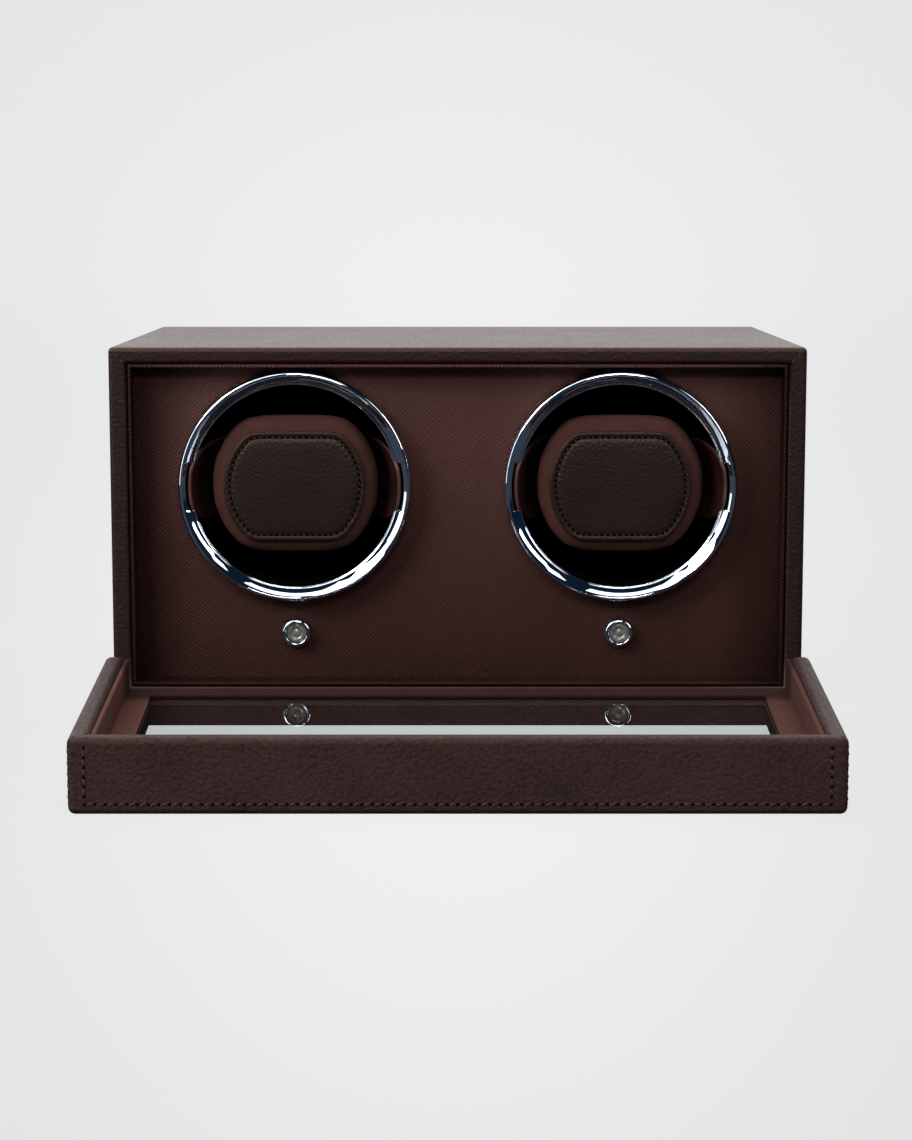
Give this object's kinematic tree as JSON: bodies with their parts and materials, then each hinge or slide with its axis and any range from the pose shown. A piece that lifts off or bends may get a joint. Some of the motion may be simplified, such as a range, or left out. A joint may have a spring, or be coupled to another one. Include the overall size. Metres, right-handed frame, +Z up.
{
  "type": "watch winder box",
  "caption": "Leather covered watch winder box with turning drums, pull-out cushioned cuffs, push buttons and a hinged glass-window lid lying open in front.",
  "frame": {"origin": "on the underside of the case, centred left to right, in the plane of the case's front rim", "axes": "+X to the right, +Y from the front rim towards the back of the case, +Z up"},
  "size_m": [0.298, 0.3313, 0.158],
  "materials": {
    "case_leather": "pebbled, semi-matt",
    "lid_leather": "pebbled, semi-matt",
    "base_felt": "felt",
    "saffiano": "fine cross-hatched, semi-matt",
    "board_wood": "raw fibreboard",
    "steel": "plain",
    "bronze": "turned",
    "circuit_board": "solder mask",
    "black_plastic": "moulded",
    "drum_plastic": "moulded",
    "gear_nylon": "moulded",
    "wire_jacket": "smooth",
    "chrome": "polished",
    "button_clear": "translucent, smooth",
    "band_leather": "smooth",
    "patch_leather": "pebbled",
    "cushion_suede": "suede",
    "lid_suede": "suede",
    "window_glass": "clear, polished",
    "gasket_rubber": "matt"
  },
  "bodies": {
    "case": {"case_shell": "case_leather", "front_sill": "case_leather", "base_pad": "base_felt", "tray_liner": "saffiano", "fascia_panel": "saffiano", "rear_cover": "case_leather", "rear_battens": "board_wood", "rear_screws": "steel", "chassis_plate": "board_wood", "chassis_brackets": "steel", "machine_screws": "steel", "drum_bushes": "bronze", "motors": "steel", "motor_mounts": "steel", "motor_standoffs": "bronze", "control_board": "circuit_board", "board_parts": "black_plastic", "board_standoffs": "bronze", "dc_jack": "black_plastic", "jack_nut": "steel", "wiring": "wire_jacket", "button_collars": "chrome", "button_nuts": "steel", "switch_bodies": "black_plastic", "index_pins": "chrome", "case_magnets": "steel", "case_hinge_leaves": "steel", "hinge_pins": "steel"},
    "left_drum": {"left_drum_cup": "drum_plastic", "left_drum_ring": "chrome", "left_drum_shaft": "steel", "left_drum_gear": "gear_nylon"},
    "left_pinion_drive": {"left_pinion": "bronze", "left_motor_shaft": "steel"},
    "left_cuff": {"left_cuff_band": "band_leather", "left_cuff_core": "black_plastic", "left_cushion": "cushion_suede", "left_patch": "patch_leather"},
    "left_push_button": {"left_button": "button_clear", "left_button_spring": "steel"},
    "right_drum": {"right_drum_cup": "drum_plastic", "right_drum_ring": "chrome", "right_drum_shaft": "steel", "right_drum_gear": "gear_nylon"},
    "right_pinion_drive": {"right_pinion": "bronze", "right_motor_shaft": "steel"},
    "right_cuff": {"right_cuff_band": "band_leather", "right_cuff_core": "black_plastic", "right_cushion": "cushion_suede", "right_patch": "patch_leather"},
    "right_push_button": {"right_button": "button_clear", "right_button_spring": "steel"},
    "lid": {"lid_shell": "lid_leather", "lid_lining": "lid_suede", "window_glass": "window_glass", "window_gasket": "gasket_rubber", "lid_magnets": "steel", "lid_hinge_leaves": "steel"}
  },
  "joints": [
    {"name": "lid_hinge", "type": "hinge", "parent": "case", "child": "lid", "pos_m": [0, -0.0268, 0.004], "axis": [1, 0, 0], "range_deg": [-90, 0]},
    {"name": "left_drum_spin", "type": "hinge", "parent": "case", "child": "left_drum", "pos_m": [-0.07, 0.075, 0.0975], "axis": [0, 1, 0], "continuous": true},
    {"name": "left_pinion_spin", "type": "hinge", "parent": "case", "child": "left_pinion_drive", "pos_m": [-0.07, 0.085, 0.0655], "axis": [0, 1, 0], "continuous": true},
    {"name": "left_cuff_pull", "type": "slide", "parent": "left_drum", "child": "left_cuff", "axis": [0, -1, 0], "range_m": [0, 0.055]},
    {"name": "left_button_press", "type": "slide", "parent": "case", "child": "left_push_button", "axis": [0, 1, 0], "range_m": [0, 0.0018], "stiffness_N_per_m": 400, "springref_m": -0.001, "deforming": ["left_button_spring"]},
    {"name": "right_drum_spin", "type": "hinge", "parent": "case", "child": "right_drum", "pos_m": [0.07, 0.075, 0.0975], "axis": [0, 1, 0], "continuous": true},
    {"name": "right_pinion_spin", "type": "hinge", "parent": "case", "child": "right_pinion_drive", "pos_m": [0.07, 0.085, 0.0655], "axis": [0, 1, 0], "continuous": true},
    {"name": "right_cuff_pull", "type": "slide", "parent": "right_drum", "child": "right_cuff", "axis": [0, -1, 0], "range_m": [0, 0.055]},
    {"name": "right_button_press", "type": "slide", "parent": "case", "child": "right_push_button", "axis": [0, 1, 0], "range_m": [0, 0.0018], "stiffness_N_per_m": 400, "springref_m": -0.001, "deforming": ["right_button_spring"]}
  ],
  "couplings": [
    {"joint": "left_pinion_spin", "follows": "left_drum_spin", "ratio": -3},
    {"joint": "right_pinion_spin", "follows": "right_drum_spin", "ratio": -3}
  ]
}
